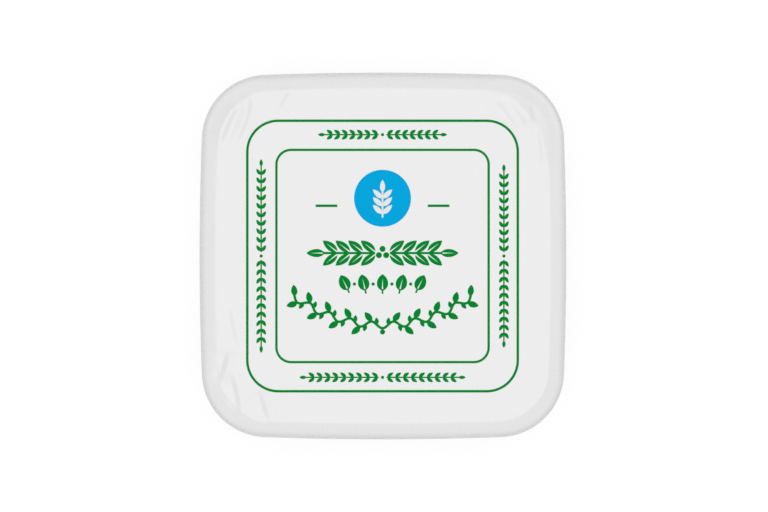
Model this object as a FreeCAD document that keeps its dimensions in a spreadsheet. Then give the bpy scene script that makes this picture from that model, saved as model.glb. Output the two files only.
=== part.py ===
"""Herb butter pack: a square, round-cornered plastic tub shut by a thin pressed-on lid.

Frame: millimetres, +Z up, the origin at the middle of the foot's underside.

The pack is two pieces.
  tub  the filled tub: a drafted wall on a rounded foot, a stacking collar and a flange under the lid.
       It is shut and filled, so it is solid.
  lid  a thin cap: a flat printed panel, a sloping shoulder, a rounded brim, a short skirt and a bead.

Every outline is the same square with slightly bowed sides and round corners, set in by some amount.
Its sides and corners are arcs that share their centres with those of the outermost outline.
"""

import FreeCAD, Part
import math
import os

import Sketcher

SIZES = {
    # the whole pack
    "overall_width": (88.0, "mm, across the lid's bead from side to side, the same both ways"),
    "overall_height": (28.0, "mm, from the foot to the top of the lid"),
    "corner_round": (15.7, "mm, corner radius of the outermost outline"),
    "side_bow": (750.0, "mm, radius of the outermost outline's slightly bowed sides"),
    # the lid
    "lid_wall": (0.7, "mm, thickness of the lid all over"),
    "shoulder_width": (3.9, "mm, from the outermost outline in to the edge of the panel"),
    "shoulder_slope": (24.0, "degrees, fall of the shoulder"),
    "brim_round": (2.5, "mm, outer radius between the shoulder and the skirt"),
    "skirt_below": (1.9, "mm, how far the skirt reaches below the flange"),
    "bead_out": (0.35, "mm, how far the bead stands out of the skirt"),
    "bead_height": (0.9, "mm, height of the bead on the skirt's lower edge"),
    "bead_round": (0.28, "mm, radius of the bead's outer edges"),
    "snap_in": (0.35, "mm, how far the snap ring stands into the skirt, under the flange"),
    "snap_height": (0.6, "mm, height of the snap ring"),
    "snap_round": (0.28, "mm, radius of the snap ring's lower edge"),
    # the tub
    "fit_gap": (0.15, "mm, clearance between the flange and the lid round it"),
    "flange_lip": (0.5, "mm, upright part of the flange's edge, under its rounded brim"),
    "collar_inset": (3.0, "mm, from the outermost outline in to the collar"),
    "collar_drop": (5.2, "mm, height of the collar under the flange"),
    "stack_step": (0.8, "mm, from the collar in to the wall under it"),
    "step_round": (0.4, "mm, radius of the collar's lower edge"),
    "wall_draft": (9.0, "degrees, lean of the wall"),
    "base_corner_round": (12.0, "mm, corner radius at the foot of the wall"),
    "base_round": (3.0, "mm, radius between the wall and the underside"),
    "foot_inset": (5.4, "mm, from the foot of the wall in to the recess of the underside"),
    "recess_depth": (1.2, "mm, depth of the recess inside the foot ring"),
    "recess_round": (0.4, "mm, radius of the recess's edges"),
    "gate_radius": (4.5, "mm, radius of the dimple round the moulding point"),
    "gate_depth": (0.6, "mm, depth of that dimple"),
    "gate_nub_radius": (0.9, "mm, radius of the moulding point's nub"),
    "gate_nub_height": (0.4, "mm, height of that nub"),
}

HALF_WIDTH = "Sizes.overall_width / 2"
TUB_TOP = "(Sizes.overall_height - Sizes.lid_wall)"
FLANGE_INSET = "(Sizes.bead_out + Sizes.lid_wall + Sizes.fit_gap)"
# The flange's top stops short of the lid's inner slope by fit_gap, measured square to that slope.
FLANGE_TOP_INSET = (
    "(Sizes.shoulder_width + Sizes.lid_wall * tan(Sizes.shoulder_slope / 2 * 1 deg)"
    " + Sizes.fit_gap / sin(Sizes.shoulder_slope * 1 deg))"
)
FLANGE_SLOPE = f"({FLANGE_TOP_INSET} - {FLANGE_INSET})"
FLANGE_FALL = f"({FLANGE_SLOPE} * tan(Sizes.shoulder_slope * 1 deg))"
FLANGE_ROUND = "(Sizes.brim_round - Sizes.lid_wall - Sizes.fit_gap)"
FLANGE_TURN = f"({FLANGE_ROUND} * tan((90 - Sizes.shoulder_slope) / 2 * 1 deg))"
FLANGE_HEIGHT = f"({FLANGE_FALL} + {FLANGE_TURN} + Sizes.flange_lip)"
FLANGE_BOTTOM = f"({TUB_TOP} - {FLANGE_HEIGHT})"
LID_BOTTOM = f"({FLANGE_BOTTOM} - Sizes.skirt_below)"
COLLAR_BOTTOM = f"({FLANGE_BOTTOM} - Sizes.collar_drop)"
SKIN_MIDDLE = "(Sizes.bead_out + Sizes.lid_wall / 2)"
WALL_INSET = "(Sizes.collar_inset + Sizes.stack_step)"
BASE_INSET = f"({WALL_INSET} + {COLLAR_BOTTOM} * tan(Sizes.wall_draft * 1 deg))"
LID_SLOPE = "(Sizes.shoulder_width - Sizes.bead_out)"
LID_FALL = f"({LID_SLOPE} * tan(Sizes.shoulder_slope * 1 deg))"
SNAP_INSET = "(Sizes.bead_out + Sizes.lid_wall + Sizes.snap_in)"
SNAP_BOTTOM = f"({FLANGE_BOTTOM} - Sizes.fit_gap - Sizes.snap_height)"
RECESS_INSET = f"({BASE_INSET} + Sizes.foot_inset)"
GATE_TOP = "(Sizes.recess_depth + Sizes.gate_depth)"
TOLERANCE = 1e-4


def make_sheet(doc):
    """The spreadsheet with one aliased cell for each driving size."""
    sheet = doc.addObject("Spreadsheet::Sheet", "Sizes")
    for row, (alias, (size, words)) in enumerate(SIZES.items(), start=1):
        sheet.set(f"A{row}", alias)
        sheet.set(f"B{row}", str(size))
        sheet.set(f"C{row}", words)
        sheet.setAlias(f"B{row}", alias)
    doc.recompute()
    return sheet


def value_of(sheet, expression):
    """The number that an expression over the sheet's sizes stands for."""
    result = sheet.evalExpression(expression)
    return float(getattr(result, "Value", result))


def corner_centre(half, corner, bow):
    """Where the corner arc's centre lies on the diagonal, and the angle at which a side arc meets it."""
    side_centre = half - bow
    reach = bow - corner
    centre = (side_centre + math.sqrt(2 * reach**2 - side_centre**2)) / 2
    return centre, math.atan2(centre, centre - side_centre)


def origin_plane(body, role):
    """A body's own origin plane."""
    return next(feature for feature in body.Origin.OriginFeatures if feature.Role == role)


def new_sketch(body, name, height):
    """An empty sketch, level, at a height given by an expression."""
    sketch = body.newObject("Sketcher::SketchObject", name)
    sketch.AttachmentSupport = [(origin_plane(body, "XY_Plane"), "")]
    sketch.MapMode = "FlatFace"
    sketch.setExpression("AttachmentOffset.Base.z", height)
    return sketch


def name_constraint(sketch, index, name, expression):
    """Names a constraint and ties it to the sheet."""
    sketch.renameConstraint(index, name)
    sketch.setExpression(f"Constraints.{name}", expression)


def add_outline(sketch, sheet, inset, tag, corner=None):
    """Adds the bowed square, set in by an expression, as four side arcs and four corner arcs."""
    half_rule = f"{HALF_WIDTH} - {inset}"
    bow_rule = f"Sizes.side_bow - {inset}"
    corner_rule = corner or f"Sizes.corner_round - {inset}"
    half = value_of(sheet, half_rule)
    bow = value_of(sheet, bow_rule)
    radius = value_of(sheet, corner_rule)
    centre, lean = corner_centre(half, radius, bow)
    up = FreeCAD.Vector(0, 0, 1)
    quarter = math.pi / 2
    sides, corners = [], []
    for turn in range(4):
        spin = FreeCAD.Rotation(up, math.degrees(turn * quarter))
        start = turn * quarter
        side_circle = Part.Circle(spin.multVec(FreeCAD.Vector(half - bow, 0, 0)), up, bow)
        corner_circle = Part.Circle(spin.multVec(FreeCAD.Vector(centre, centre, 0)), up, radius)
        side = Part.ArcOfCircle(side_circle, start - lean, start + lean)
        rounded = Part.ArcOfCircle(corner_circle, start + lean, start + quarter - lean)
        sides.append(sketch.addGeometry(side, False))
        corners.append(sketch.addGeometry(rounded, False))
    for turn in range(4):
        following = sides[(turn + 1) % 4]
        sketch.addConstraint(Sketcher.Constraint("Tangent", sides[turn], 2, corners[turn], 1))
        sketch.addConstraint(Sketcher.Constraint("Tangent", corners[turn], 2, following, 1))
    for other in range(1, 4):
        sketch.addConstraint(Sketcher.Constraint("Equal", sides[0], sides[other]))
        sketch.addConstraint(Sketcher.Constraint("Equal", corners[0], corners[other]))
    index = sketch.addConstraint(Sketcher.Constraint("Radius", sides[0], bow))
    name_constraint(sketch, index, f"{tag}_bow", bow_rule)
    index = sketch.addConstraint(Sketcher.Constraint("Radius", corners[0], radius))
    name_constraint(sketch, index, f"{tag}_corner", corner_rule)
    reach_rule = f"{bow_rule} - ({half_rule})"
    root, centre_point, x_axis, y_axis = -1, 3, -1, -2
    for turn, kind in enumerate(("DistanceX", "DistanceY", "DistanceX", "DistanceY")):
        along = x_axis if kind == "DistanceX" else y_axis
        sketch.addConstraint(Sketcher.Constraint("PointOnObject", sides[turn], centre_point, along))
        ends = (sides[turn], centre_point, root, 1)
        if turn > 1:
            ends = (root, 1, sides[turn], centre_point)
        index = sketch.addConstraint(Sketcher.Constraint(kind, *ends, bow - half))
        name_constraint(sketch, index, f"{tag}_reach_{turn}", reach_rule)


def add_circle(sketch, sheet, radius_rule):
    """Adds a circle about the origin."""
    circle = Part.Circle(FreeCAD.Vector(0, 0, 0), FreeCAD.Vector(0, 0, 1), value_of(sheet, radius_rule))
    index = sketch.addGeometry(circle, False)
    sketch.addConstraint(Sketcher.Constraint("Coincident", index, 3, -1, 1))
    radius = sketch.addConstraint(Sketcher.Constraint("Radius", index, value_of(sheet, radius_rule)))
    name_constraint(sketch, radius, "round", radius_rule)


def add_pad(body, name, sketch, length):
    """A Pad upwards from its sketch."""
    pad = body.newObject("PartDesign::Pad", name)
    pad.Profile = sketch
    pad.setExpression("Length", length)
    body.Document.recompute()
    return pad


def add_pocket(body, name, sketch, length):
    """A Pocket upwards into the solid, from a sketch on its underside. It has to take material away."""
    before = body.Shape.Volume
    pocket = body.newObject("PartDesign::Pocket", name)
    pocket.Profile = sketch
    pocket.Reversed = True
    pocket.setExpression("Length", length)
    body.Document.recompute()
    if body.Shape.Volume >= before:
        raise RuntimeError(f"{name} cuts nothing")
    return pocket


def outline_inset(sheet, point):
    """How far a point lies inside the outermost outline, for points not far from it."""
    half = value_of(sheet, HALF_WIDTH)
    corner = value_of(sheet, "Sizes.corner_round")
    bow = value_of(sheet, "Sizes.side_bow")
    centre, lean = corner_centre(half, corner, bow)
    near, far = sorted((abs(point.x), abs(point.y)))
    if math.atan2(near, far - (half - bow)) < lean:
        return bow - math.hypot(far - (half - bow), near)
    return corner - math.hypot(far - centre, near - centre)


def at_inset(sheet, inset):
    """A test of whether a point lies on the outline set in by an expression."""
    wanted = value_of(sheet, inset)
    return lambda point: abs(outline_inset(sheet, point) - wanted) < TOLERANCE


def level_edges(feature, height, keep=lambda middle: True):
    """Names of the edges that lie level at a height and whose middle passes a test."""
    names = []
    for number, edge in enumerate(feature.Shape.Edges, start=1):
        box = edge.BoundBox
        level = abs(box.ZMin - height) < TOLERANCE and abs(box.ZMax - height) < TOLERANCE
        middle = edge.valueAt((edge.FirstParameter + edge.LastParameter) / 2)
        if level and keep(middle):
            names.append(f"Edge{number}")
    if not names:
        raise RuntimeError(f"{feature.Name} has no such edge at height {height}")
    return names


def add_fillet(body, name, feature, edges, radius):
    """A Fillet on named edges of a feature."""
    fillet = body.newObject("PartDesign::Fillet", name)
    fillet.Base = (feature, edges)
    fillet.setExpression("Radius", radius)
    body.Document.recompute()
    if "Invalid" in fillet.State:
        raise RuntimeError(f"{name} can't be rounded")
    return fillet


def add_slope(body, name, feature, edges, inwards):
    """A Chamfer that falls from a top face at the shoulder's slope, from this far inside its edge."""
    slope = body.newObject("PartDesign::Chamfer", name)
    slope.Base = (feature, edges)
    slope.ChamferType = "Two distances"
    slope.setExpression("Size", inwards)
    slope.setExpression("Size2", f"{inwards} * tan(Sizes.shoulder_slope * 1 deg)")
    for flip in (False, True):
        slope.FlipDirection = flip
        body.Document.recompute()
        if slope_is_right_way(slope, feature, inwards):
            return slope
    raise RuntimeError(f"{name} can't be cut")


def slope_is_right_way(slope, feature, inwards):
    """Whether the chamfer was cut and took its longer distance along the top face."""
    if "Invalid" in slope.State or slope.Shape.isNull():
        return False
    before = feature.Shape.BoundBox
    face = next(face for face in slope.Shape.Faces if is_level_face(face, before.ZMax))
    taken = (before.XLength - face.BoundBox.XLength) / 2
    return abs(taken - value_of(slope.Document.getObject("Sizes"), inwards)) < TOLERANCE


def is_level_face(face, height):
    """Whether a face is flat and level at a height."""
    box = face.BoundBox
    return abs(box.ZMin - height) < TOLERANCE and abs(box.ZMax - height) < TOLERANCE


def make_lid(doc, sheet):
    """The lid: a block with a sloped and rounded top, hollowed from below, and a bead round its skirt."""
    body = doc.addObject("PartDesign::Body", "Lid")
    body.Label = "lid"
    skirt = new_sketch(body, "SkirtOutline", LID_BOTTOM)
    add_outline(skirt, sheet, "Sizes.bead_out", "skirt")
    block = add_pad(body, "LidBlock", skirt, f"Sizes.overall_height - {LID_BOTTOM}")
    rim = level_edges(block, value_of(sheet, "Sizes.overall_height"))
    shoulder = add_slope(body, "Shoulder", block, rim, LID_SLOPE)
    brim = level_edges(shoulder, value_of(sheet, f"Sizes.overall_height - {LID_FALL}"))
    rounded = add_fillet(body, "Brim", shoulder, brim, "Sizes.brim_round")

    bottom = value_of(sheet, LID_BOTTOM)
    faces = enumerate(rounded.Shape.Faces, start=1)
    mouth = [f"Face{number}" for number, face in faces if is_level_face(face, bottom)]
    shell = body.newObject("PartDesign::Thickness", "LidShell")
    shell.Base = (rounded, mouth)
    shell.Reversed = True
    shell.setExpression("Value", "Sizes.lid_wall")
    doc.recompute()

    ring = new_sketch(body, "BeadOutline", LID_BOTTOM)
    add_outline(ring, sheet, "0", "outer")
    add_outline(ring, sheet, SKIN_MIDDLE, "inner")
    bead = add_pad(body, "Bead", ring, "Sizes.bead_height")
    bead_top = value_of(sheet, f"{LID_BOTTOM} + Sizes.bead_height")
    outermost = [
        name
        for height in (bottom, bead_top)
        for name in level_edges(bead, height, at_inset(sheet, "0"))
    ]
    add_fillet(body, "BeadRound", bead, outermost, "Sizes.bead_round")

    snap = new_sketch(body, "SnapOutline", SNAP_BOTTOM)
    add_outline(snap, sheet, SKIN_MIDDLE, "outer")
    add_outline(snap, sheet, SNAP_INSET, "inner")
    ring = add_pad(body, "Snap", snap, "Sizes.snap_height")
    snap_bottom = value_of(sheet, SNAP_BOTTOM)
    edges = level_edges(ring, snap_bottom, at_inset(sheet, SNAP_INSET))
    add_fillet(body, "SnapRound", ring, edges, "Sizes.snap_round")
    return body


def make_tub(doc, sheet):
    """The filled tub: wall, collar, flange, foot and the recess of its underside."""
    body = doc.addObject("PartDesign::Body", "Tub")
    body.Label = "tub"
    foot = new_sketch(body, "WallFoot", "0")
    add_outline(foot, sheet, BASE_INSET, "foot", "Sizes.base_corner_round")
    head = new_sketch(body, "WallHead", COLLAR_BOTTOM)
    add_outline(head, sheet, WALL_INSET, "head")
    wall = body.newObject("PartDesign::AdditiveLoft", "Wall")
    wall.Profile = foot
    wall.Sections = [head]
    wall.Ruled = True
    doc.recompute()

    collar = new_sketch(body, "CollarOutline", COLLAR_BOTTOM)
    add_outline(collar, sheet, "Sizes.collar_inset", "collar")
    add_pad(body, "Collar", collar, f"{TUB_TOP} - {COLLAR_BOTTOM}")
    flange = new_sketch(body, "FlangeOutline", FLANGE_BOTTOM)
    add_outline(flange, sheet, FLANGE_INSET, "flange")
    rim = add_pad(body, "Flange", flange, FLANGE_HEIGHT)

    top = value_of(sheet, TUB_TOP)
    edges = level_edges(rim, top)
    slope = add_slope(body, "FlangeSlope", rim, edges, FLANGE_SLOPE)
    edges = level_edges(slope, value_of(sheet, f"{TUB_TOP} - {FLANGE_FALL}"))
    rounded = add_fillet(body, "FlangeBrim", slope, edges, FLANGE_ROUND)

    edges = level_edges(rounded, value_of(sheet, COLLAR_BOTTOM), at_inset(sheet, "Sizes.collar_inset"))
    step = add_fillet(body, "StackStep", rounded, edges, "Sizes.step_round")
    edges = level_edges(step, 0.0)
    add_fillet(body, "BaseRound", step, edges, "Sizes.base_round")

    recess = new_sketch(body, "RecessOutline", "0")
    add_outline(recess, sheet, RECESS_INSET, "recess", "Sizes.base_corner_round - Sizes.foot_inset")
    hollow = add_pocket(body, "Recess", recess, "Sizes.recess_depth")
    inside = value_of(sheet, f"{HALF_WIDTH} - {RECESS_INSET}") + TOLERANCE
    edges = level_edges(hollow, 0.0, lambda middle: max(abs(middle.x), abs(middle.y)) < inside)
    edges += level_edges(hollow, value_of(sheet, "Sizes.recess_depth"))
    add_fillet(body, "RecessRound", hollow, edges, "Sizes.recess_round")

    dimple = new_sketch(body, "GateDimpleOutline", "Sizes.recess_depth")
    add_circle(dimple, sheet, "Sizes.gate_radius")
    add_pocket(body, "GateDimple", dimple, "Sizes.gate_depth")
    nub = new_sketch(body, "GateNubOutline", f"{GATE_TOP} - Sizes.gate_nub_height")
    add_circle(nub, sheet, "Sizes.gate_nub_radius")
    add_pad(body, "GateNub", nub, "Sizes.gate_nub_height")
    return body


def check(doc, bodies):
    """Stops if any object failed or any body isn't one sound solid."""
    for item in doc.Objects:
        if "Invalid" in item.State or "Error" in item.State:
            raise RuntimeError(f"{item.Name} failed: {item.State}")
    for body in bodies:
        shape = body.Shape
        if shape.isNull() or not shape.isValid() or len(shape.Solids) != 1:
            raise RuntimeError(f"{body.Label} isn't one sound solid")


def main():
    doc = FreeCAD.newDocument("HerbButterPack")
    sheet = make_sheet(doc)
    bodies = [make_tub(doc, sheet), make_lid(doc, sheet)]
    doc.recompute()
    check(doc, bodies)
    os.makedirs("parts", exist_ok=True)
    for body in bodies:
        body.Shape.exportStep(f"parts/{body.Label}.step")
        box = body.Shape.BoundBox
        size = " x ".join(f"{length:.2f}" for length in (box.XLength, box.YLength, box.ZLength))
        print(f"{body.Label}: {size} mm, {body.Shape.Volume / 1000:.2f} cm3")


main()
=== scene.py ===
"""Herb butter pack: a shut square tub with a printed lid.

The lid, the tub's finish and each part of the print have an operator of their own, and so has the stage.
Lengths are in metres in the part's own frame: +Z up, the origin at the middle of the foot's underside.
"""

import math

import bmesh
import bpy
import numpy as np
from bpy.props import FloatProperty, FloatVectorProperty, IntProperty, PointerProperty
from mathutils import Matrix, Vector


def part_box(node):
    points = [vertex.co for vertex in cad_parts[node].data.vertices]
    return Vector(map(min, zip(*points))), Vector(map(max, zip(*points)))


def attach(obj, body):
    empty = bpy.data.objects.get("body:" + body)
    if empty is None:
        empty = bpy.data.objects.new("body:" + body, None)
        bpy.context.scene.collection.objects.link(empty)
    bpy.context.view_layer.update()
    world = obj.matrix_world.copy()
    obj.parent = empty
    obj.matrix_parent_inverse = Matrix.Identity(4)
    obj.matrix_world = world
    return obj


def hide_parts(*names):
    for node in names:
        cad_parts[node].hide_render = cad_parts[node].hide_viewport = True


bl_info = {
    "name": "Herb butter pack",
    "version": (1, 0, 0),
    "blender": (4, 5, 0),
    "location": "3D View > Sidebar > Butter",
    "description": "Models and dresses a shut square tub of herb butter",
    "category": "Object",
}

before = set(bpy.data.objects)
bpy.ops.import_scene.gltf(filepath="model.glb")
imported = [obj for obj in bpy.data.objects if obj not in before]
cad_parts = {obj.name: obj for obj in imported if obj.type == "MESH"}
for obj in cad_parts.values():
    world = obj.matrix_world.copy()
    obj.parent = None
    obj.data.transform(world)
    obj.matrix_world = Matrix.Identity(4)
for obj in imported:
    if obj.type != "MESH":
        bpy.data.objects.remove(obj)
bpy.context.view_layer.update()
LID_LOW, LID_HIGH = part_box("lid")

MM = 0.001
QUARTER = math.pi / 2
FULL_TURN = 2 * math.pi
BODY = "root"
UP = Vector((0, 0, 1))
HAIR = 1e-7  # closer than this, two vertices are one
SEAM = 2e-5  # the rounding error that a chain of long spins may gather
RIM_STEP = 0.6 * MM  # between the vertices round a flat disc, so that its triangles aren't slivers
OVERLAP = 4e-6  # how much higher ink lies where it covers other ink


def length(name, description, default):
    """A length that a user may change."""
    return FloatProperty(
        name=name, description=description, default=default, subtype="DISTANCE", unit="LENGTH"
    )


def angle(name, description, degrees):
    """An angle that a user may change."""
    return FloatProperty(
        name=name, description=description, default=math.radians(degrees), subtype="ANGLE", unit="ROTATION"
    )


def colour(name, description, default):
    """A colour that a user may change."""
    return FloatVectorProperty(
        name=name, description=description, default=default, subtype="COLOR", min=0, max=1
    )


class ButterLid(bpy.types.PropertyGroup):
    """Sizes of the lid. Insets are measured from the outermost outline."""

    width: length("Width", "Across the bead, from side to side", LID_HIGH.x - LID_LOW.x)
    top: length("Top", "Height of the panel above the surface the pack stands on", LID_HIGH.z)
    depth: length("Depth", "From the panel down to the skirt's edge", LID_HIGH.z - LID_LOW.z)
    corner_round: length("Corner radius", "Radius of the outermost outline's corners", 15.7 * MM)
    side_bow: length("Side radius", "Radius of the slightly bowed sides", 750 * MM)
    wall: length("Wall", "Thickness of the lid", 0.7 * MM)
    shoulder_width: length("Shoulder", "From the outline in to the panel's edge", 3.9 * MM)
    shoulder_slope: angle("Slope", "Fall of the shoulder", 24)
    panel_round: length("Panel edge", "Radius between the panel and the shoulder", 1.0 * MM)
    brim_round: length("Brim radius", "Radius between the shoulder and the skirt", 2.5 * MM)
    bead_out: length("Bead reach", "How far the bead stands out of the skirt", 0.35 * MM)
    bead_height: length("Bead height", "Height of the bead on the skirt's edge", 0.9 * MM)
    fine_width: length("Fine border", "Width of the finely divided border of the panel", 13.2 * MM)
    fine_rings: IntProperty(name="Border rings", description="Rings that the fine border has", default=40)
    side_ribs: IntProperty(name="Ribs on a side", description="Fine ribs along each side", default=48)
    corner_ribs: IntProperty(name="Ribs on a corner", description="Fine ribs round each corner", default=20)
    rib_height: length("Rib height", "Height of the fine ribs over the brim and skirt", 0.085 * MM)


class ButterPrint(bpy.types.PropertyGroup):
    """Sizes of the print on the lid."""

    ink: length("Ink", "How far the ink stands above the panel", 0.02 * MM)
    aside: length("Print aside", "How far the print lies beside the panel's middle", -0.09 * MM)
    outer_half: length("Outer frame", "From the middle to the outer frame line", 32.32 * MM)
    outer_round: length("Outer corners", "Corner radius of the outer frame line", 7.4 * MM)
    outer_line: length("Outer line", "Width of the outer frame line", 0.60 * MM)
    inner_half: length("Inner frame", "From the middle to the inner frame line", 25.36 * MM)
    inner_round: length("Inner corners", "Corner radius of the inner frame line", 3.5 * MM)
    inner_line: length("Inner line", "Width of the inner frame line", 0.57 * MM)
    border_middle: length("Border", "From the middle to the border's twigs", 29.0 * MM)
    border_height: length("Twig height", "Height of the border's twigs", 2.3 * MM)
    badge_radius: length("Badge", "Radius of the round badge", 6.8 * MM)
    badge_up: length("Badge place", "Height of the badge above the middle of the panel", 13.8 * MM)
    dash_start: length("Dash start", "From the middle to the near end of a dash", 10.8 * MM)
    dash_end: length("Dash end", "From the middle to the far end of a dash", 16.0 * MM)
    dash_up: length("Dash place", "Height of the dashes above the middle of the panel", 12.0 * MM)
    garland_reach: length("Garland", "Length of the bold garland", 36.4 * MM)
    garland_up: length("Garland place", "Height of the garland above the middle of the panel", 0.7 * MM)
    row_reach: length("Leaf row", "Length of the row of stalked leaves", 20.5 * MM)
    row_height: length("Leaf row height", "Height of a stalked leaf", 4.7 * MM)
    row_drop: length("Leaf row place", "How far the row of leaves lies below the middle", 6.7 * MM)
    vine_radius: length("Vine radius", "Radius of the arc that the vine follows", 36.2 * MM)
    vine_sweep: angle("Vine sweep", "Angle of the vine's arc from its middle to an end", 37.5)
    vine_drop: length("Vine place", "How far the vine's lowest point lies below the middle", 16.5 * MM)


class ButterColours(bpy.types.PropertyGroup):
    """Colours of the pack and the stage."""

    plastic: colour("Plastic", "White polypropylene of the tub and the lid", (0.80, 0.80, 0.80))
    green: colour("Green", "Ink of the frames, leaves and vine", (0.0, 0.235, 0.030))
    blue: colour("Blue", "Ink of the badge", (0.001, 0.381, 0.730))
    floor: colour("Floor", "The plain pale floor", (0.8, 0.8, 0.8))
    lamp_share: FloatProperty(name="Lamp", description="The lamp's share of the light", default=0.45)
    sky_share: FloatProperty(name="Sky", description="The sky's share of the light", default=0.55)


# ---------------------------------------------------------------- outline and relief


class BowedSquare:
    """The outline of the pack: four bowed sides and four round corners, all of them arcs."""

    def __init__(self, lid):
        self.bow = lid.side_bow
        self.corner = lid.corner_round
        self.side_centre = lid.width / 2 - self.bow
        # Each corner's circle touches those of its two sides from inside.
        reach = self.bow - self.corner
        self.corner_centre = (self.side_centre + math.sqrt(2 * reach**2 - self.side_centre**2)) / 2
        self.lean = math.atan2(self.corner_centre, self.corner_centre - self.side_centre)
        self.side_ribs = lid.side_ribs
        self.corner_ribs = lid.corner_ribs

    def arcs(self):
        """Centre, angle and number of ribs of each arc, in order, from the start of the +X side."""
        for quarter in range(4):
            spin = Matrix.Rotation(quarter * QUARTER, 3, "Z")
            yield spin @ Vector((self.side_centre, 0, 0)), 2 * self.lean, self.side_ribs
            yield (
                spin @ Vector((self.corner_centre, self.corner_centre, 0)),
                QUARTER - 2 * self.lean,
                self.corner_ribs,
            )

    def first_point(self, inset, height):
        """The point of the +X side's start that lies this far inside the outline."""
        reach = self.bow - inset
        x = self.side_centre + reach * math.cos(self.lean)
        return Vector((x, -reach * math.sin(self.lean), height))

    def locate(self, x, y):
        """How far points lie inside the outline, and how many ribs round it they are."""
        quarter = np.round(np.arctan2(y, x) / QUARTER)
        turn = quarter * QUARTER
        u = x * np.cos(turn) + y * np.sin(turn)
        v = y * np.cos(turn) - x * np.sin(turn)
        lean = np.arctan2(v, u - self.side_centre)
        aside = np.abs(v)
        round_angle = np.arctan2(aside - self.corner_centre, u - self.corner_centre)
        on_side = np.abs(lean) <= self.lean
        side_inset = self.bow - np.hypot(u - self.side_centre, v)
        corner_inset = self.corner - np.hypot(u - self.corner_centre, aside - self.corner_centre)
        side_station = lean / self.lean * self.side_ribs / 2
        share = (round_angle - self.lean) / (QUARTER - 2 * self.lean)
        corner_station = np.sign(v) * (self.side_ribs / 2 + share * self.corner_ribs)
        inset = np.where(on_side, side_inset, corner_inset)
        station = np.where(on_side, side_station, corner_station)
        return inset, station + quarter * (self.side_ribs + self.corner_ribs)


# Folds in the panel near its corners. Each gives its corner (signs of X and Y), three points of its route
# from the corner arc's centre outwards along X and Y, the way from the route to its crest, and its height,
# in millimetres. A fold rises to a crest on the left of its route and sinks as far on the right.
FOLDS = [
    ((-1, 1), ((6.5, 8.8), (8.9, 3.9), (11.4, -2.4)), 1.05, 0.40),
    ((-1, 1), ((4.2, 12.0), (4.7, 4.8), (9.3, -4.0)), 1.05, 0.31),
    ((-1, 1), ((-5.8, 12.4), (-4.2, 9.6), (-2.6, 6.6)), 0.95, 0.24),
    ((-1, -1), ((8.8, -6.0), (10.2, -1.1), (11.4, 3.8)), 1.22, 0.49),
    ((-1, -1), ((8.7, -1.4), (7.4, 4.4), (5.9, 11.6)), 1.12, 0.35),
    ((-1, -1), ((1.7, 3.8), (0.8, 7.8), (-1.1, 12.8)), 1.08, 0.31),
    ((-1, -1), ((9.0, -17.2), (7.9, -10.2), (6.2, -4.0)), 1.00, 0.16),
    ((1, 1), ((-2.4, 10.4), (2.3, 5.8), (5.2, -1.6)), 1.40, 0.31),
    ((1, 1), ((0.8, 11.8), (5.2, 5.6), (7.2, 1.8)), 1.30, 0.27),
    ((1, 1), ((8.1, 4.0), (7.8, 6.4), (7.1, 8.9)), 0.85, 0.22),
    ((1, 1), ((9.0, 4.0), (9.8, -1.2), (10.3, -9.5)), 0.85, 0.17),
]
FOLD_REACH = 3  # how many times the way to its crest a fold takes to die away sideways
FOLD_ENDS = (0.3, 0.35)  # shares of its length over which a fold rises and dies away
FOLD_START = (0.45, 1.1)  # folds rise between these shares of the shoulder's width
FOLD_MARGIN = 0.25  # share of the fine border over which folds die away before its inner edge
# Corners dented so that their shoulder reaches further in. Each gives its corner, the bearing of the dent's
# middle and its half width in degrees, its depth in millimetres and the slope of its inner side in degrees.
DENTS = [
    ((-1, 1), 40, 70, 0.36, 24),
    ((-1, -1), 42, 40, 0.36, 24),
    ((-1, -1), 0, 20, 0.20, 24),
    ((1, 1), 36, 80, 0.60, 13),
    ((1, -1), 45, 60, 0.12, 24),
]
DENT_EDGE = (0.4, 1.9)  # millimetres from the outline between which a dent deepens
DENT_REACH = 1.3  # corner radii from the corner arc's centre at which a dent has died away


class Relief:
    """Folds and dents of the lid. Its print follows them too."""

    def __init__(self, lid):
        self.outline = BowedSquare(lid)
        self.corner = lid.corner_round / MM
        self.shoulder = lid.shoulder_width / MM
        self.fine = lid.fine_width / MM

    def corner_place(self, x, y, signs):
        """Places in millimetres from a corner arc's centre, outwards along X and Y."""
        centre = self.outline.corner_centre
        return (x * signs[0] - centre) / MM, (y * signs[1] - centre) / MM

    def heights(self, x, y):
        """How far the panel is raised at each place."""
        inset, _ = self.outline.locate(x, y)
        inset = inset / MM
        total = np.zeros_like(x)
        for signs, route, crest, height in FOLDS:
            across, fade = along_fold(*self.corner_place(x, y, signs), route)
            aside = across / crest
            total += height * fade * 2 * aside / (1 + aside**2) * np.exp(-((aside / FOLD_REACH) ** 2))
        total *= smooth_step(inset / self.shoulder, *FOLD_START)
        total *= smooth_step(1 - inset / self.fine, 0, FOLD_MARGIN)
        for signs, middle, spread, depth, slope in DENTS:
            out, up = self.corner_place(x, y, signs)
            aside = np.abs(np.degrees(np.arctan2(up, out)) - middle)
            sunk = depth * (1 - smooth_step(aside, 0, spread))
            from_edge = math.tan(math.radians(slope)) * (self.shoulder - inset) + sunk
            dent = np.minimum(np.maximum(from_edge, 0), sunk) * smooth_step(inset, *DENT_EDGE)
            total -= dent * (1 - smooth_step(np.hypot(out, up) / self.corner, 1, DENT_REACH))
        return total * MM


def smooth_step(value, low, high):
    """0 below low, 1 above high, and an even rise between them."""
    share = np.clip((value - low) / (high - low), 0, 1)
    return share * share * (3 - 2 * share)


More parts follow.
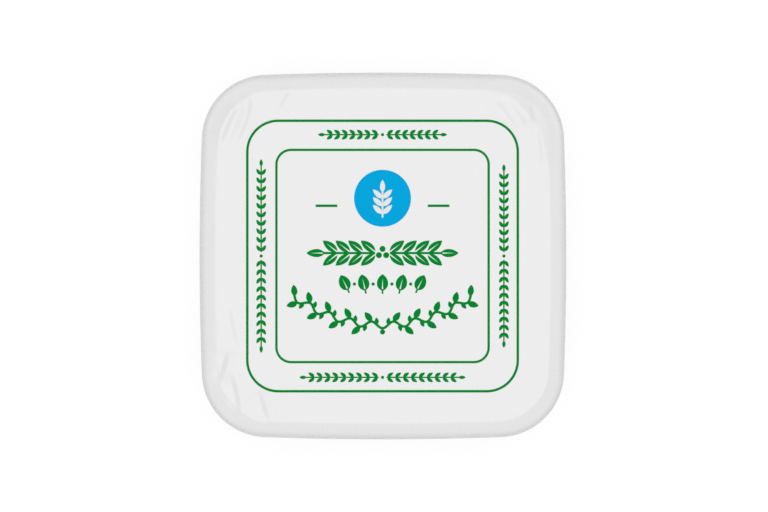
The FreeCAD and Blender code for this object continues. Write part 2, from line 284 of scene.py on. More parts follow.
def along_fold(x, y, route, pieces=12):
    """Signed distance of points from a curve through three points, and a fade towards its ends."""
    start, middle, end = (np.array(point) for point in route)
    steps = np.linspace(0, 1, pieces + 1)
    blend = [(1 - steps) ** 2, 2 * steps * (1 - steps), steps**2]
    knee = 2 * middle - (start + end) / 2
    curve = sum(share[:, None] * point for share, point in zip(blend, (start, knee, end)))
    nearest = np.full(x.shape, np.inf)
    signed = np.zeros_like(x)
    place = np.zeros_like(x)
    for number, (first, last) in enumerate(zip(curve[:-1], curve[1:])):
        run = last - first
        share = np.clip(((x - first[0]) * run[0] + (y - first[1]) * run[1]) / (run @ run), 0, 1)
        off_x = x - first[0] - share * run[0]
        off_y = y - first[1] - share * run[1]
        distance = np.hypot(off_x, off_y)
        closer = distance < nearest
        nearest = np.where(closer, distance, nearest)
        signed = np.where(closer, np.copysign(distance, run[0] * off_y - run[1] * off_x), signed)
        place = np.where(closer, (number + share) / pieces, place)
    rise, fall = FOLD_ENDS
    return signed, smooth_step(place, 0, rise) * smooth_step(1 - place, 0, fall)


# ---------------------------------------------------------------- materials


def new_group(name, inputs, outputs):
    """A shader node group with named sockets, and its two end nodes."""
    group = bpy.data.node_groups.new(name, "ShaderNodeTree")
    for kind, socket, default in inputs:
        made = group.interface.new_socket(socket, in_out="INPUT", socket_type=kind)
        if default is not None:
            made.default_value = default
    for kind, socket in outputs:
        group.interface.new_socket(socket, in_out="OUTPUT", socket_type=kind)
    return group, group.nodes.new("NodeGroupInput"), group.nodes.new("NodeGroupOutput")


def add_noise(tree, vector, scale, detail=2.0, roughness=0.5):
    """A noise texture on a vector, whose scale may be a socket or a number."""
    noise = tree.nodes.new("ShaderNodeTexNoise")
    noise.inputs["Detail"].default_value = detail
    noise.inputs["Roughness"].default_value = roughness
    tree.links.new(vector, noise.inputs["Vector"])
    if isinstance(scale, bpy.types.NodeSocket):
        tree.links.new(scale, noise.inputs["Scale"])
    else:
        noise.inputs["Scale"].default_value = scale
    return noise.outputs["Fac"]


def add_math(tree, operation, *values):
    """A Math node on sockets or numbers."""
    node = tree.nodes.new("ShaderNodeMath")
    node.operation = operation
    for socket, value in zip(node.inputs, values):
        if isinstance(value, bpy.types.NodeSocket):
            tree.links.new(value, socket)
        else:
            socket.default_value = value
    return node.outputs[0]


def add_remap(tree, value, low, high, start=0.0, stop=1.0):
    """Spreads a value of start to stop from low to high."""
    node = tree.nodes.new("ShaderNodeMapRange")
    node.inputs["From Min"].default_value = start
    node.inputs["From Max"].default_value = stop
    tree.links.new(value, node.inputs["Value"])
    for name, bound in (("To Min", low), ("To Max", high)):
        if isinstance(bound, bpy.types.NodeSocket):
            tree.links.new(bound, node.inputs[name])
        else:
            node.inputs[name].default_value = bound
    return node.outputs["Result"]


def surface_group():
    """Slightly uneven tone, gloss and grain, as on moulded plastic or a layer of ink."""
    inputs = [
        ("NodeSocketVector", "Place", None),
        ("NodeSocketColor", "Colour", (1, 1, 1, 1)),
        ("NodeSocketFloat", "Tone Spread", 0.02),
        ("NodeSocketFloat", "Tone Scale", 120.0),
        ("NodeSocketFloat", "Roughness", 0.4),
        ("NodeSocketFloat", "Roughness Spread", 0.06),
        ("NodeSocketFloat", "Grain Scale", 3500.0),
        ("NodeSocketFloat", "Grain", 1.0),
        ("NodeSocketFloat", "Wave", 1.0),
    ]
    outputs = [
        ("NodeSocketColor", "Colour"),
        ("NodeSocketFloat", "Roughness"),
        ("NodeSocketFloat", "Height"),
    ]
    group, start, end = new_group("uneven_surface", inputs, outputs)
    place = start.outputs["Place"]
    blotches = add_noise(group, place, start.outputs["Tone Scale"], detail=3.0)
    grain = add_noise(group, place, start.outputs["Grain Scale"], roughness=0.6)
    wave = add_noise(group, place, scale=45.0, detail=1.0)
    darkest = add_math(group, "SUBTRACT", 1.0, start.outputs["Tone Spread"])
    tone = add_remap(group, blotches, darkest, 1.0)
    tint = group.nodes.new("ShaderNodeVectorMath")
    tint.operation = "SCALE"
    group.links.new(start.outputs["Colour"], tint.inputs[0])
    group.links.new(tone, tint.inputs["Scale"])
    group.links.new(tint.outputs[0], end.inputs["Colour"])
    swing = add_math(group, "SUBTRACT", grain, 0.5)
    swing = add_math(group, "MULTIPLY", swing, start.outputs["Roughness Spread"])
    group.links.new(add_math(group, "ADD", start.outputs["Roughness"], swing), end.inputs["Roughness"])
    fine = add_math(group, "MULTIPLY", grain, start.outputs["Grain"])
    broad = add_math(group, "MULTIPLY", wave, start.outputs["Wave"])
    group.links.new(add_math(group, "ADD", fine, broad), end.inputs["Height"])
    return group


def dressed_material(name, tint, roughness, specular, bump, **values):
    """A material with the uneven surface group between its place on the piece and its shader."""
    material = bpy.data.materials.new(name)
    material.use_nodes = True
    tree = material.node_tree
    shader = tree.nodes["Principled BSDF"]
    shader.inputs["Specular IOR Level"].default_value = specular
    place = tree.nodes.new("ShaderNodeTexCoord")
    surface = tree.nodes.new("ShaderNodeGroup")
    surface.node_tree = bpy.data.node_groups.get("uneven_surface") or surface_group()
    surface.inputs["Colour"].default_value = (*tint, 1)
    surface.inputs["Roughness"].default_value = roughness
    for socket, value in values.items():
        surface.inputs[socket.replace("_", " ").title()].default_value = value
    bumps = tree.nodes.new("ShaderNodeBump")
    bumps.inputs["Distance"].default_value = bump
    tree.links.new(place.outputs["Object"], surface.inputs["Place"])
    tree.links.new(surface.outputs["Colour"], shader.inputs["Base Color"])
    tree.links.new(surface.outputs["Roughness"], shader.inputs["Roughness"])
    tree.links.new(surface.outputs["Height"], bumps.inputs["Height"])
    tree.links.new(bumps.outputs["Normal"], shader.inputs["Normal"])
    return material


def white_plastic(name, colours):
    """Satin white polypropylene with a fine moulded grain."""
    return bpy.data.materials.get(name) or dressed_material(
        name,
        colours.plastic,
        roughness=0.34,
        specular=0.27,
        bump=0.02 * MM,
        tone_spread=0.012,
        roughness_spread=0.08,
    )


def ink(name, tint):
    """Matt ink, slightly uneven in density."""
    return bpy.data.materials.get(name) or dressed_material(
        name,
        tint,
        roughness=0.6,
        specular=0.015,
        bump=0.008 * MM,
        tone_spread=0.05,
        tone_scale=900.0,
        grain_scale=6000.0,
        wave=0.0,
    )


# ---------------------------------------------------------------- modelling

RIB_COLUMNS = 4  # columns of faces for each fine rib
FLAT_RING = 1.0 * MM  # ring between the fine border and the panel's middle
BEAD_FULLNESS = 0.8  # the bead's radius as a share of its reach
RIB_START = (0.1 * MM, 0.9 * MM)  # outside the panel's edge, where the ribs rise
RIB_END = (0.1 * MM, 1.2 * MM)  # above the bead, where the ribs die away


def finish_piece(name, bm, material, sharp_degrees=35):
    """Makes a piece of a bmesh: smooth, with sharp edges past an angle, and riding on the pack."""
    bmesh.ops.remove_doubles(bm, verts=bm.verts, dist=HAIR)
    mesh = bpy.data.meshes.new(name)
    bm.to_mesh(mesh)
    bm.free()
    mesh.materials.append(material)
    mesh.polygons.foreach_set("use_smooth", np.ones(len(mesh.polygons), bool))
    mesh.set_sharp_from_angle(angle=math.radians(sharp_degrees))
    piece = bpy.data.objects.new(name, mesh)
    bpy.context.scene.collection.objects.link(piece)
    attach(piece, BODY)
    return piece


def only(kind, geometry):
    """The elements of one kind among an operator's results."""
    return [item for item in geometry if isinstance(item, kind)]


class Section:
    """A cross-section drawn as a chain of edges: x is the inset from the outline and z the height."""

    def __init__(self, inset, height):
        self.bm = bmesh.new()
        self.end = self.bm.verts.new((inset, 0, height))

    def line(self, inset, height, steps=1):
        """Extrudes the chain's end straight to a point."""
        move = (Vector((inset, 0, height)) - self.end.co) / steps
        for _ in range(steps):
            made = bmesh.ops.extrude_vert_indiv(self.bm, verts=[self.end])
            self.end = made["verts"][0]
            bmesh.ops.translate(self.bm, verts=[self.end], vec=move)

    def arc(self, centre, degrees, steps):
        """Spins the chain's end about a point given as inset and height."""
        made = bmesh.ops.spin(
            self.bm,
            geom=[self.end],
            cent=(centre[0], 0, centre[1]),
            axis=(0, 1, 0),
            angle=math.radians(degrees),
            steps=steps,
        )
        self.end = only(bmesh.types.BMVert, made["geom_last"])[0]


def turn_section(section, outline):
    """Takes a section round the whole outline, as one spin for each of its arcs."""
    bm = section.bm
    for vert in bm.verts:
        vert.co = outline.first_point(vert.co.x, vert.co.z)
    last = bm.verts[:] + bm.edges[:]
    for centre, sweep, ribs in outline.arcs():
        made = bmesh.ops.spin(bm, geom=last, cent=centre, axis=UP, angle=sweep, steps=ribs * RIB_COLUMNS)
        last = made["geom_last"]
    bmesh.ops.remove_doubles(bm, verts=bm.verts, dist=SEAM)
    rims = [vert for vert in bm.verts if vert.is_boundary]
    bmesh.ops.remove_doubles(bm, verts=rims, dist=RIM_STEP)
    discs = bmesh.ops.holes_fill(bm, edges=[edge for edge in bm.edges if edge.is_boundary])["faces"]
    bmesh.ops.poke(bm, faces=discs)
    bmesh.ops.recalc_face_normals(bm, faces=bm.faces)
    return bm


def lid_section(lid):
    """The lid's wall: panel, shoulder, brim, skirt and bead outside, then back up the inside."""
    slope = lid.shoulder_slope
    top, skirt = lid.top, lid.bead_out
    edge_inset = lid.shoulder_width
    panel_inset = edge_inset + lid.panel_round * math.tan(slope / 2)
    crest_drop = (edge_inset - skirt) * math.tan(slope)
    brim_tangent = lid.brim_round * math.tan((QUARTER - slope) / 2)
    brim_inset = skirt + brim_tangent * math.cos(slope)
    brim_height = top - crest_drop + brim_tangent * math.sin(slope)
    brim_centre = (skirt + lid.brim_round, top - crest_drop - brim_tangent)
    brim_turn = 90 - math.degrees(slope)
    bottom = top - lid.depth
    bead_top = bottom + lid.bead_height
    bead_round = BEAD_FULLNESS * lid.bead_out

    section = Section(lid.fine_width + FLAT_RING, top)
    section.line(lid.fine_width, top)
    section.line(panel_inset, top, steps=lid.fine_rings)
    section.arc((panel_inset, top - lid.panel_round), -math.degrees(slope), steps=3)
    section.line(brim_inset, brim_height, steps=6)
    section.arc(brim_centre, -brim_turn, steps=9)
    section.line(skirt, bead_top, steps=2)
    section.line(bead_round, bead_top)
    section.arc((bead_round, bead_top - bead_round), -90, steps=3)
    section.line(0, bottom + bead_round)
    section.arc((bead_round, bottom + bead_round), -90, steps=3)

    inner_skirt = skirt + lid.wall
    under = top - lid.wall
    section.line(inner_skirt, bottom)
    section.line(inner_skirt, brim_centre[1])
    section.arc(brim_centre, brim_turn, steps=5)
    section.line(edge_inset + lid.wall * math.tan(slope / 2), under)
    section.line(lid.fine_width, under)
    return section


def make_lid(context):
    """The printed lid, with fine ribs over its brim and skirt, and the panel's folds."""
    lid = context.scene.butter_lid
    relief = Relief(lid)
    bm = turn_section(lid_section(lid), relief.outline)
    bm.normal_update()
    places = np.array([vert.co for vert in bm.verts])
    normals = np.array([vert.normal for vert in bm.verts])
    inset, station = relief.outline.locate(places[:, 0], places[:, 1])
    outside = outer_skin(places, normals)
    above_bead = places[:, 2] - (lid.top - lid.depth + lid.bead_height)
    ribs = lid.rib_height * rib_wave(station) * outside
    ribs *= smooth_step(lid.shoulder_width - inset, *RIB_START)
    ribs *= smooth_step(above_bead, *RIB_END)
    lift = relief.heights(places[:, 0], places[:, 1]) * outside
    lift *= inset > lid.bead_out / 2  # the bead stays level
    places += normals * ribs[:, None]
    places[:, 2] += lift
    for vert, place in zip(bm.verts, places):
        vert.co = place
    material = white_plastic("lid_plastic", context.scene.butter_colours)
    piece = finish_piece("printed_lid", bm, material)
    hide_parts("lid")


def rib_wave(station):
    """Height of the ribs as a share of the highest: a crest at each station, some lower than others."""
    wander = np.sin(0.41 * station) * np.sin(0.17 * station + 1)
    return np.cos(FULL_TURN * station) * (0.6 + 0.4 * wander)


def outer_skin(places, normals):
    """1 for vertices whose normal points up or away from the lid's middle, and 0 for those inside."""
    away = places[:, :2] / np.linalg.norm(places[:, :2], axis=1)[:, None]
    facing = np.einsum("ij,ij->i", normals[:, :2], away) + normals[:, 2]
    return (facing > 0.05).astype(float)


def make_tub(context):
    """The tub: the CAD solid, in the same white plastic."""
    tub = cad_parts["tub"]
    material = white_plastic("tub_plastic", context.scene.butter_colours)
    tub.data.materials.clear()
    tub.data.materials.append(material)


# ---------------------------------------------------------------- print

BELLY = 0.42  # where a leaf is widest, as a share of its length
RIB_SHARE = 0.78  # how far a leaf's bare midrib runs, as a share of its length
STEM_TUCK = 0.1  # how far a stem runs into its end leaf, as a share of the leaf's length
FOOT_ASIDE = 0.6  # how far a leaf's foot lies beside its stem's middle, as a share of the stem's width
TWIG_REACHES = (43.9 * MM, 30.9 * MM, 46.3 * MM, 39.8 * MM)  # on the +X side and on, counter-clockwise


def ribbon(bm, path, width, closed=False):
    """A flat band of ink along a path of points, extruded edge by edge."""
    points = [Vector((*point, 0)) for point in path]
    count = len(points)
    rails = []
    for number, point in enumerate(points):
        before = points[number - 1] if closed or number else point
        after = points[(number + 1) % count] if closed or number + 1 < count else point
        along = (after - before).normalized()
        rails.append((point, Vector((-along.y, along.x, 0)) * width / 2))
    first, aside = rails[0]
    left, right = bm.verts.new(first + aside), bm.verts.new(first - aside)
    edge = bm.edges.new((left, right))
    for point, aside in rails[1:] + rails[:1] * closed:
        made = bmesh.ops.extrude_edge_only(bm, edges=[edge])["geom"]
        edge = only(bmesh.types.BMEdge, made)[0]
        # Either end of the new edge may have grown from the left rail.
        if left in (bond.other_vert(edge.verts[0]) for bond in edge.verts[0].link_edges):
            left, right = edge.verts
        else:
            right, left = edge.verts
        left.co = point + aside
        right.co = point - aside
    if closed:
        bmesh.ops.remove_doubles(bm, verts=bm.verts, dist=HAIR)


def round_path(half, corner, steps, side_steps=100):
    """Points of a square with round corners, counter-clockwise, close enough to follow the folds."""
    straight = half - corner
    path = []
    for quarter in range(4):
        spin = Matrix.Rotation(quarter * QUARTER, 2)
        for step in range(steps + 1):
            turn = step / steps * QUARTER
            out = corner * Vector((math.cos(turn), math.sin(turn)))
            path.append(spin @ (Vector((straight, straight)) + out))
        for step in range(1, side_steps):
            path.append(spin @ Vector((straight * (1 - 2 * step / side_steps), half)))
    return path


def leaf_shape(reach, width, rib=0.0, steps=8):
    """A leaf from the origin along +X, widest near its foot. A bare midrib may run up most of it."""
    bm = bmesh.new()
    foot = tip = bm.verts.new((0, rib / 2, 0))
    belly = BELLY * reach
    for run, rise in ((belly, (width - rib) / 2), (reach - belly, width / 2)):
        radius = (run**2 + rise**2) / (2 * rise)
        sweep = math.atan2(run, radius - rise)
        centre = (belly, width / 2 - radius, 0)
        made = bmesh.ops.spin(bm, geom=[tip], cent=centre, axis=UP, angle=-sweep, steps=steps // 2)
        tip = only(bmesh.types.BMVert, made["geom_last"])[0]
    if rib:
        rib_end = bm.verts.new((RIB_SHARE * reach, 0, 0))
        bm.edges.new((tip, rib_end))
        bm.edges.new((rib_end, foot))
        bmesh.ops.edgeloop_fill(bm, edges=bm.edges)
        bmesh.ops.mirror(bm, geom=bm.faces[:] + bm.edges[:] + bm.verts[:], axis="Y", merge_dist=HAIR)
    else:
        bmesh.ops.mirror(bm, geom=bm.edges[:] + bm.verts[:], axis="Y", merge_dist=HAIR)
        bmesh.ops.edgeloop_fill(bm, edges=bm.edges)
    return as_shape("leaf", bm)


def dot_shape(radius, segments=16):
    """A round dot of ink."""
    bm = bmesh.new()
    bmesh.ops.create_circle(bm, cap_ends=True, radius=radius, segments=segments)
    return as_shape("dot", bm)


def as_shape(name, bm):
    """Keeps a bmesh as a mesh that can be stamped many times."""
    shape = bpy.data.meshes.new(f"shape_{name}")
    bm.to_mesh(shape)
    bm.free()
    return shape


def stamp(bm, shape, x, y, turn=0.0, lift=0, under=Matrix.Identity(4)):
    """Adds a shape turned by an angle and moved to a place, a few steps above those that it overlaps."""
    count = len(bm.verts)
    bm.from_mesh(shape)
    bm.verts.ensure_lookup_table()
    place = under @ Matrix.Translation((x, y, lift * OVERLAP)) @ Matrix.Rotation(turn, 4, "Z")
    bmesh.ops.transform(bm, matrix=place, verts=bm.verts[count:])


def stamp_all(bm, source, under):
    """Adds the whole of another bmesh, placed by a matrix."""
    shape = as_shape("group", source)
    stamp(bm, shape, 0, 0, under=under)
    bpy.data.meshes.remove(shape)


def print_piece(context, name, bm, material, layer=1):
    """Gives flat ink its thickness and lays it in the panel's surface, whose folds it follows."""
    prints = context.scene.butter_print
    lid = context.scene.butter_lid
    bmesh.ops.remove_doubles(bm, verts=bm.verts, dist=HAIR)
    sunk = 2 * prints.ink
    bmesh.ops.translate(bm, verts=bm.verts, vec=(prints.aside, 0, lid.top - sunk))
    raised = bmesh.ops.extrude_face_region(bm, geom=bm.faces[:], use_keep_orig=True)["geom"]
    rise = (0, 0, layer * prints.ink + sunk)
    bmesh.ops.translate(bm, verts=only(bmesh.types.BMVert, raised), vec=rise)
    bmesh.ops.recalc_face_normals(bm, faces=bm.faces)
    places = np.array([vert.co for vert in bm.verts])
    for vert, lift in zip(bm.verts, Relief(lid).heights(places[:, 0], places[:, 1])):
        vert.co.z += lift
    finish_piece(name, bm, material)


def green_ink(context):
    """The ink of everything but the badge."""
    return ink("green_ink", context.scene.butter_colours.green)


def make_frames(context):
    """Two frame lines with round corners, and the two dashes beside the badge."""
    prints = context.scene.butter_print
    bm = bmesh.new()
    ribbon(bm, round_path(prints.outer_half, prints.outer_round, 16), prints.outer_line, closed=True)
    ribbon(bm, round_path(prints.inner_half, prints.inner_round, 12), prints.inner_line, closed=True)
    for side in (-1, 1):
        dash = [(side * prints.dash_start, prints.dash_up), (side * prints.dash_end, prints.dash_up)]
        ribbon(bm, dash, prints.outer_line)
    print_piece(context, "frame_lines", bm, green_ink(context))


def garland(reach, start, first, pairs, stem, slant, leaf_size):
    """A straight garland along X, the same both ways: a stem, pairs of slanting leaves and an end leaf."""
    bm = bmesh.new()
    leaf = leaf_shape(*leaf_size)
    leaf_reach = leaf_size[0]
    end = reach / 2 - leaf_reach
    for side in (-1, 1):
        heading = 0 if side > 0 else math.pi
        ribbon(bm, [(side * start, 0), (side * (end + STEM_TUCK * leaf_reach), 0)], stem)
        for number in range(pairs):
            x = side * (first + number * (end - first) / pairs)
            for up in (-1, 1):
                stamp(bm, leaf, x, up * FOOT_ASIDE * stem, heading + side * up * slant, lift=1 + (up > 0))
        stamp(bm, leaf, side * end, 0, heading, lift=1)
    return bm


def twig(reach, height, pitch=2.1 * MM):
    """A fine garland with a dot in its middle."""
    bm = garland(
        reach,
        start=0.4 * height,
        first=0.55 * pitch,
        pairs=int(reach / 2 / pitch - 0.2),
        stem=0.34 * MM,
        slant=math.radians(33),
        leaf_size=(0.74 * height, 0.36 * height, 0.0, 6),
    )
    stamp(bm, dot_shape(0.17 * height), 0, 0)
    return bm


def make_border(context):
    """A twig along each side, between the two frame lines."""
    prints = context.scene.butter_print
    bm = bmesh.new()
    to_side = Matrix.Translation((prints.border_middle, 0, 0)) @ Matrix.Rotation(QUARTER, 4, "Z")
    for quarter, reach in enumerate(TWIG_REACHES):
        under = Matrix.Rotation(quarter * QUARTER, 4, "Z") @ to_side
        stamp_all(bm, twig(reach, prints.border_height), under)
    print_piece(context, "border_twigs", bm, green_ink(context))


def make_garlands(context):
    """A bold garland with three berries in its middle, and under it a row of stalked leaves."""
    prints = context.scene.butter_print
    bm = garland(
        prints.garland_reach,
        start=1.75 * MM,
        first=1.8 * MM,
        pairs=4,
        stem=0.55 * MM,
        slant=math.radians(38),
        leaf_size=(4.3 * MM, 1.95 * MM, 0.34 * MM, 12),
    )
    berry = dot_shape(0.72 * MM, 20)
    for turn in range(3):
        place = Matrix.Rotation(turn * FULL_TURN / 3, 2) @ Vector((0, 1.0 * MM))
        stamp(bm, berry, *place)
    bmesh.ops.translate(bm, verts=bm.verts, vec=(0, prints.garland_up, 0))
    add_leaf_row(bm, prints)
    print_piece(context, "leaf_garlands", bm, green_ink(context))


def add_leaf_row(bm, prints, count=5):
    """A row of broad leaves on stalks, fanned out, with a dot between each two."""
    stalk, stalk_line, tuck = 0.8 * MM, 0.42 * MM, 0.35 * MM
    margin = 1.3 * MM
    leaf = leaf_shape(prints.row_height - stalk, 2.7 * MM, 0.34 * MM, 12)
    dot = dot_shape(0.40 * MM)
    step = (prints.row_reach - 2 * margin) / (count - 1)
    for number in range(count):
        place = number - (count - 1) / 2
        lean = place * math.radians(13)
        along = Vector((math.sin(lean), math.cos(lean)))
        foot = Vector((place * step, -prints.row_drop)) - along * prints.row_height / 2
        ribbon(bm, [foot, foot + along * (stalk + tuck)], stalk_line)
        stamp(bm, leaf, *(foot + along * stalk), QUARTER - lean, lift=1)
        if number + 1 < count:
            stamp(bm, dot, (place + 0.5) * step, -prints.row_drop)


def make_vine(context):
    """A wavy vine along an arc that hangs under the garlands, growing from its middle both ways."""
    prints = context.scene.butter_print
    bm = bmesh.new()
    waves, wave_steps = 9, 14
    swing = 0.75 * MM
    stem = 0.62 * MM
    foot_out = 0.1 * MM
    stem_end = 1 - 0.3 / waves
    last_leaf = waves - 0.45
    leaf, leaf_slant = leaf_shape(2.7 * MM, 1.5 * MM), math.radians(48)
    bud, bud_slant = leaf_shape(1.7 * MM, 1.0 * MM, steps=6), math.radians(80)
    centre_up = prints.vine_radius - prints.vine_drop

    def vine_point(share, out=0.0):
        """The point at a share of the way from the middle to an end, and this far outside the vine."""
        bearing = -QUARTER + share * prints.vine_sweep
        radius = prints.vine_radius + swing * math.cos(math.pi * waves * share) + out
        return radius * math.cos(bearing), centre_up + radius * math.sin(bearing)

    steps = waves * wave_steps
    ribbon(bm, [vine_point(stem_end * step / steps) for step in range(-steps, steps + 1)], stem)
    for side in (-1, 1):
        for number in range(1, waves + 1):
            outward = 1 if number % 2 == 0 else -1
            share = side * min(number, last_leaf) / waves
            heading = share * prints.vine_sweep + (0 if side > 0 else math.pi)
            x, y = vine_point(share, outward * foot_out)
            stamp(bm, leaf, x, y, heading - side * outward * leaf_slant, lift=1)
            if number < waves:
                x, y = vine_point(side * (number - 0.5) / waves, outward * foot_out)
                stamp(bm, bud, x, y, heading - side * outward * bud_slant, lift=1)
    stamp(bm, dot_shape(0.62 * MM), *vine_point(0, 0.9 * MM), lift=1)
    print_piece(context, "leaf_vine", bm, green_ink(context))


def make_badge(context):
    """A round blue badge."""
    prints = context.scene.butter_print
    bm = bmesh.new()
    stamp(bm, dot_shape(prints.badge_radius, 96), 0, prints.badge_up)
    material = ink("blue_ink", context.scene.butter_colours.blue)
    print_piece(context, "badge", bm, material)


def make_sprig(context):
    """A white sprig on the badge: a stem, three pairs of leaves and a top leaf."""
    prints = context.scene.butter_print
    bm = bmesh.new()
    foot, neck = prints.badge_up - 4.6 * MM, prints.badge_up + 1.5 * MM
    stem, tuck = 0.42 * MM, 0.1 * MM
    first, pitch = 0.9 * MM, 1.85 * MM
    slant = math.radians(46)
    leaf = leaf_shape(3.0 * MM, 1.22 * MM, steps=10)
    ribbon(bm, [(0, foot), (0, neck)], stem)
    stamp(bm, leaf, 0, neck - tuck, QUARTER, lift=1)
    for number in range(3):
        up = foot + first + number * pitch
        for side in (-1, 1):
            stamp(bm, leaf, side * FOOT_ASIDE * stem / 2, up, QUARTER - side * slant, lift=1 + (side > 0))
    material = ink("white_ink", context.scene.butter_colours.plastic)
    print_piece(context, "badge_sprig", bm, material, layer=2)


# ---------------------------------------------------------------- stage

FLOOR_HALF = 30  # from the floor's middle to its edge
FLOOR_GAP = 0.02 * MM  # between the floor and the foot
FLOOR_SHADE = 0.17  # how much of the floor's seen white darkens where the pack shades it
FLOOR_WHITE = 1.02  # the seen floor's brightness in full light
FLOOR_FADE = (0.3, 1.5)  # from the middle, between which the seen floor turns pure white
LAMP_HEIGHT = 1.6
LAMP_RADIUS = 0.8
CAMERA_DISTANCE = 1.3
CAMERA_ASIDE = 0.26 * MM
LID_SHARE = 0.4773  # the lid's width as a share of the camera's view
SENSOR_WIDTH = 36


def make_stage(context):
    """A pale floor, a soft round lamp over the pack, an even sky and a camera that looks straight down."""
    colours = context.scene.butter_colours
    bm = bmesh.new()
    under = Matrix.Translation((0, 0, -FLOOR_GAP))
    bmesh.ops.create_grid(bm, x_segments=1, y_segments=1, size=FLOOR_HALF, matrix=under)
    mesh = bpy.data.meshes.new("floor")
    bm.to_mesh(mesh)
    bm.free()
    mesh.materials.append(floor_material(colours))
    floor = bpy.data.objects.new("floor", mesh)
    context.scene.collection.objects.link(floor)
    add_lamp(context, colours)
    add_sky(context, colours)
    add_camera(context)


def floor_material(colours):
    """Pale and matt. Where it is seen it is nearly white, keeps the pack's shadow and whitens far away."""
    material = bpy.data.materials.new("pale_floor")
    material.use_nodes = True
    tree = material.node_tree
    tree.nodes.remove(tree.nodes["Principled BSDF"])
    plain = add_shader(tree, "ShaderNodeBsdfDiffuse", colours.floor)
    shaded = add_shader(tree, "ShaderNodeBsdfDiffuse", (FLOOR_SHADE,) * 3)
    glow = add_shader(tree, "ShaderNodeEmission", (FLOOR_WHITE - FLOOR_SHADE,) * 3)
    white = add_shader(tree, "ShaderNodeEmission", (1, 1, 1))
    near = tree.nodes.new("ShaderNodeAddShader")
    tree.links.new(shaded, near.inputs[0])
    tree.links.new(glow, near.inputs[1])
    place = tree.nodes.new("ShaderNodeTexCoord")
    reach = tree.nodes.new("ShaderNodeVectorMath")
    reach.operation = "LENGTH"
    tree.links.new(place.outputs["Object"], reach.inputs[0])
    away = add_remap(tree, reach.outputs["Value"], 0.0, 1.0, *FLOOR_FADE)
    seen = add_mix(tree, away, near.outputs[0], white)
    surface = add_mix(tree, seen_directly(tree), plain, seen)
    tree.links.new(surface, tree.nodes["Material Output"].inputs["Surface"])
    return material


def add_shader(tree, kind, tint):
    """A plain shader of one kind and one colour."""
    shader = tree.nodes.new(kind)
    shader.inputs["Color"].default_value = (*tint, 1)
    return shader.outputs[0]


def add_mix(tree, share, first, second):
    """A share of the second shader, and the rest of the first."""
    mix = tree.nodes.new("ShaderNodeMixShader")
    tree.links.new(share, mix.inputs["Fac"])
    tree.links.new(first, mix.inputs[1])
    tree.links.new(second, mix.inputs[2])
    return mix.outputs[0]


def seen_directly(tree):
    """1 for rays from the camera, a mirror or glass."""
    path = tree.nodes.new("ShaderNodeLightPath")
    mirrored = add_math(tree, "MAXIMUM", path.outputs["Is Glossy Ray"], path.outputs["Is Transmission Ray"])
    return add_math(tree, "MAXIMUM", path.outputs["Is Camera Ray"], mirrored)


def add_lamp(context, colours):
    """A round softbox above the camera. Its power gives its share of the light on a level surface."""
    light = bpy.data.lights.new("softbox", "AREA")
    light.shape = "DISK"
    light.size = 2 * LAMP_RADIUS
    light.energy = math.pi**2 * (LAMP_HEIGHT**2 + LAMP_RADIUS**2) * colours.lamp_share
    lamp = bpy.data.objects.new("softbox", light)
    lamp.location = (0, 0, LAMP_HEIGHT)
    context.scene.collection.objects.link(lamp)


def add_sky(context, colours):
    """An even sky: white where it is seen, and dimmer where it only lights."""
    world = bpy.data.worlds.new("sky")
    world.use_nodes = True
    tree = world.node_tree
    background = tree.nodes["Background"]
    background.inputs["Color"].default_value = (1, 1, 1, 1)
    strength = add_remap(tree, seen_directly(tree), colours.sky_share, 1.0)
    tree.links.new(strength, background.inputs["Strength"])
    context.scene.world = world


def add_camera(context):
    """Straight above the pack, far away with a long lens, so that its sides don't show."""
    lid = context.scene.butter_lid
    camera = bpy.data.cameras.new("camera")
    camera.sensor_width = SENSOR_WIDTH
    camera.lens = SENSOR_WIDTH * CAMERA_DISTANCE / (lid.width / LID_SHARE)
    camera.clip_end = 2 * FLOOR_HALF
    view = bpy.data.objects.new("camera", camera)
    view.location = (CAMERA_ASIDE, 0, lid.top - lid.depth + CAMERA_DISTANCE)
    context.scene.collection.objects.link(view)
    context.scene.camera = view


# ---------------------------------------------------------------- operators and panel


class BUTTER_OT_lid(bpy.types.Operator):
    """Model the printed lid with its ribs and folds"""

    bl_idname = "butter.lid"
    bl_label = "Lid"

    def execute(self, context):
        make_lid(context)
        return {"FINISHED"}


class BUTTER_OT_tub(bpy.types.Operator):
    """Dress the tub in white plastic"""

    bl_idname = "butter.tub"
    bl_label = "Tub"

    def execute(self, context):
        make_tub(context)
        return {"FINISHED"}


class BUTTER_OT_frames(bpy.types.Operator):
    """Print the frame lines and dashes"""

    bl_idname = "butter.frames"
    bl_label = "Frame lines"

    def execute(self, context):
        make_frames(context)
        return {"FINISHED"}


class BUTTER_OT_border(bpy.types.Operator):
    """Print the border's twigs"""

    bl_idname = "butter.border"
    bl_label = "Border twigs"

    def execute(self, context):
        make_border(context)
        return {"FINISHED"}


class BUTTER_OT_garlands(bpy.types.Operator):
    """Print the garlands and the vine"""

    bl_idname = "butter.garlands"
    bl_label = "Garlands and vine"

    def execute(self, context):
        make_garlands(context)
        make_vine(context)
        return {"FINISHED"}


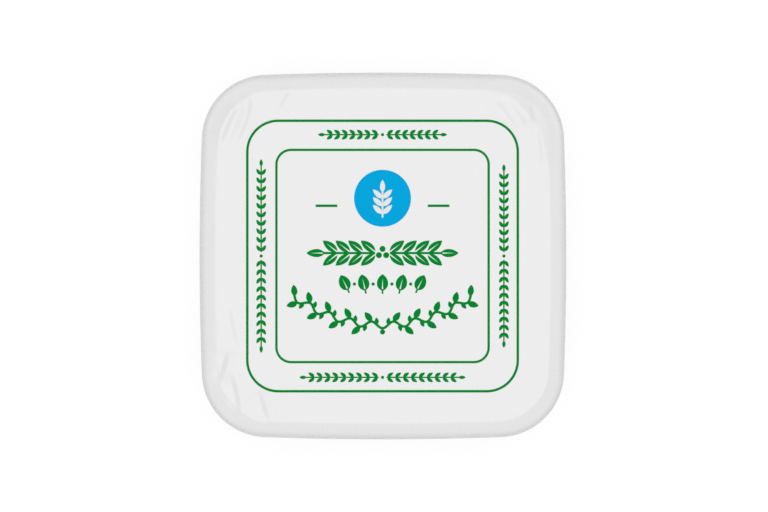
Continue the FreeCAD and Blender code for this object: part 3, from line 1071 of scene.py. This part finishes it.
class BUTTER_OT_badge(bpy.types.Operator):
    """Print the badge and its sprig"""

    bl_idname = "butter.badge"
    bl_label = "Badge"

    def execute(self, context):
        make_badge(context)
        make_sprig(context)
        return {"FINISHED"}


class BUTTER_OT_stage(bpy.types.Operator):
    """Set the floor, the light and the camera"""

    bl_idname = "butter.stage"
    bl_label = "Stage"

    def execute(self, context):
        make_stage(context)
        return {"FINISHED"}


OPERATORS = (
    BUTTER_OT_lid,
    BUTTER_OT_tub,
    BUTTER_OT_frames,
    BUTTER_OT_border,
    BUTTER_OT_garlands,
    BUTTER_OT_badge,
    BUTTER_OT_stage,
)


class BUTTER_PT_pack(bpy.types.Panel):
    """Sizes, colours and pieces of the herb butter pack"""

    bl_idname = "BUTTER_PT_pack"
    bl_label = "Herb butter pack"
    bl_space_type = "VIEW_3D"
    bl_region_type = "UI"
    bl_category = "Butter"

    def draw(self, context):
        """Lists every size and colour, then the operators."""
        for group in (context.scene.butter_lid, context.scene.butter_print, context.scene.butter_colours):
            box = self.layout.box()
            for name in group.__annotations__:
                box.prop(group, name)
        for operator in OPERATORS:
            self.layout.operator(operator.bl_idname)


GROUPS = {"butter_lid": ButterLid, "butter_print": ButterPrint, "butter_colours": ButterColours}


def register():
    """Adds the classes and their settings."""
    for item in (*GROUPS.values(), *OPERATORS, BUTTER_PT_pack):
        bpy.utils.register_class(item)
    for name, group in GROUPS.items():
        setattr(bpy.types.Scene, name, PointerProperty(type=group))


def unregister():
    """Takes the settings and the classes away again."""
    for name in GROUPS:
        delattr(bpy.types.Scene, name)
    for item in (BUTTER_PT_pack, *reversed(OPERATORS), *GROUPS.values()):
        bpy.utils.unregister_class(item)


def main():
    """Makes every piece and the stage."""
    register()
    bpy.context.scene.view_settings.view_transform = "Standard"
    bpy.ops.butter.lid()
    bpy.ops.butter.tub()
    bpy.ops.butter.frames()
    bpy.ops.butter.border()
    bpy.ops.butter.garlands()
    bpy.ops.butter.badge()
    bpy.ops.butter.stage()


if __name__ == "__main__":
    main()
